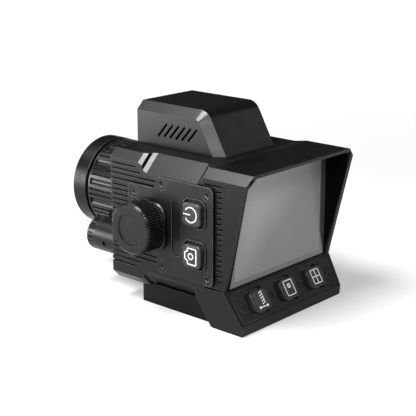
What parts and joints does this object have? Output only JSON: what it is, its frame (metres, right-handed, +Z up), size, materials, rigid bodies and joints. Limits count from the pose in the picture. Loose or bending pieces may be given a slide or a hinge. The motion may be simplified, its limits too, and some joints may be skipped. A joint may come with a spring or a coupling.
{
  "type": "thermal imaging camera",
  "caption": "Handheld thermal imaging camera with a hooded rear screen, side control knob, ribbed focus ring and a rangefinder housing on top.",
  "frame": {"origin": "centre of the base block's underside", "axes": "+Y out of the lens along the optical axis, +Z up, +X to the user's right"},
  "size_m": [0.0855, 0.1156, 0.0838],
  "materials": {
    "anodised_black": "fine bead-blasted black anodising, satin",
    "anodised_plate": "black anodised sheet, satin",
    "anodised_knob": "black anodised, machined, with bright worn edges",
    "anodised_ring": "smooth black anodised, soft sheen",
    "black_steel": "black oxide steel, worn bright at the rims",
    "steel": "plain ground steel",
    "brass_bush": "turned brass",
    "component_black": "moulded black",
    "key_plastic": "glossy black keys",
    "circuit_board": "green solder mask",
    "screen_glass": "cover glass",
    "display": "unlit grey display",
    "seal_rubber": "matt black rubber",
    "germanium": "coated germanium",
    "window_glass": "coated window glass",
    "battery_wrap": "shrink wrapped cell"
  },
  "bodies": {
    "camera": {"front_housing": "anodised_black", "rear_housing": "anodised_black", "base_block": "anodised_black", "base_screws": "black_steel", "control_plate": "anodised_plate", "control_plate_screws": "black_steel", "knob_flange": "anodised_plate", "encoder_bushing": "brass_bush", "rotary_encoder": "component_black", "side_switch_board": "circuit_board", "keypad_plate": "anodised_plate", "keypad_board": "circuit_board", "keypad_screws": "black_steel", "cover_glass": "screen_glass", "display_module": "display", "main_board": "circuit_board", "housing_seal": "seal_rubber", "lens_barrel": "anodised_black", "front_ring": "anodised_ring", "objective_lens": "germanium", "lens_retaining_ring": "anodised_black", "lens_o_ring": "seal_rubber", "pointer_tube": "anodised_black", "pointer_grub_screw": "black_steel", "pointer_diode": "brass_bush", "pointer_lens": "window_glass", "top_cover": "anodised_black", "emitter_tube": "anodised_ring", "emitter_lens": "window_glass", "receiver_tube": "anodised_ring", "receiver_lens": "window_glass", "rangefinder_board": "circuit_board", "top_cover_screws": "black_steel", "right_cover": "anodised_plate", "right_cover_screws": "black_steel", "charging_port": "steel", "flap_hinge_pin": "steel", "detector_carrier": "anodised_black", "detector_board": "circuit_board", "thermal_detector": "component_black", "shutter_motor": "component_black", "battery_pack": "battery_wrap", "speaker": "component_black"},
    "focus_ring": {"focus_ring": "anodised_knob"},
    "focus_cell": {"focus_cell": "anodised_black", "focus_lens": "germanium"},
    "knob": {"control_knob": "anodised_knob", "knob_shaft": "steel"},
    "pointer_collar": {"pointer_collar": "anodised_knob"},
    "power_button": {"power_button": "key_plastic"},
    "photo_button": {"photo_button": "key_plastic"},
    "left_key": {"left_key": "key_plastic"},
    "middle_key": {"middle_key": "key_plastic"},
    "right_key": {"right_key": "key_plastic"},
    "port_flap": {"port_flap": "seal_rubber"},
    "shutter_blade": {"shutter_blade": "component_black"}
  },
  "joints": [
    {"name": "focus_turn", "type": "hinge", "parent": "camera", "child": "focus_ring", "pos_m": [0, 0.0465, 0.03925], "axis": [0, 1, 0], "range_deg": [0, 120]},
    {"name": "focus_slide", "type": "slide", "parent": "camera", "child": "focus_cell", "axis": [0, 1, 0], "range_m": [0, 0.004]},
    {"name": "knob_turn", "type": "hinge", "parent": "camera", "child": "knob", "pos_m": [-0.043, 0.007, 0.0384], "axis": [-1, 0, 0], "continuous": true},
    {"name": "pointer_focus", "type": "hinge", "parent": "camera", "child": "pointer_collar", "pos_m": [-0.023, 0.0495, 0.0224], "axis": [0, 1, 0], "range_deg": [-90, 90]},
    {"name": "power_button_press", "type": "slide", "parent": "camera", "child": "power_button", "axis": [1, 0, 0], "range_m": [0, 0.0005], "stiffness_N_per_m": 2500, "springref_m": -0.0006},
    {"name": "photo_button_press", "type": "slide", "parent": "camera", "child": "photo_button", "axis": [1, 0, 0], "range_m": [0, 0.0005], "stiffness_N_per_m": 2500, "springref_m": -0.0006},
    {"name": "left_key_press", "type": "slide", "parent": "camera", "child": "left_key", "axis": [0, 0.8452, -0.5345], "range_m": [0, 0.0005], "stiffness_N_per_m": 2500, "springref_m": -0.0006},
    {"name": "middle_key_press", "type": "slide", "parent": "camera", "child": "middle_key", "axis": [0, 0.8452, -0.5345], "range_m": [0, 0.0005], "stiffness_N_per_m": 2500, "springref_m": -0.0006},
    {"name": "right_key_press", "type": "slide", "parent": "camera", "child": "right_key", "axis": [0, 0.8452, -0.5345], "range_m": [0, 0.0005], "stiffness_N_per_m": 2500, "springref_m": -0.0006},
    {"name": "flap_swing", "type": "hinge", "parent": "camera", "child": "port_flap", "pos_m": [0.0369, 0.0086, 0.03], "axis": [0, 0, 1], "range_deg": [0, 120]},
    {"name": "shutter_travel", "type": "slide", "parent": "camera", "child": "shutter_blade", "axis": [-1, 0, 0], "range_m": [0, 0.0147]}
  ],
  "couplings": [
    {"joint": "focus_slide", "follows": "focus_turn", "m_per_rad": 0.001908}
  ]
}
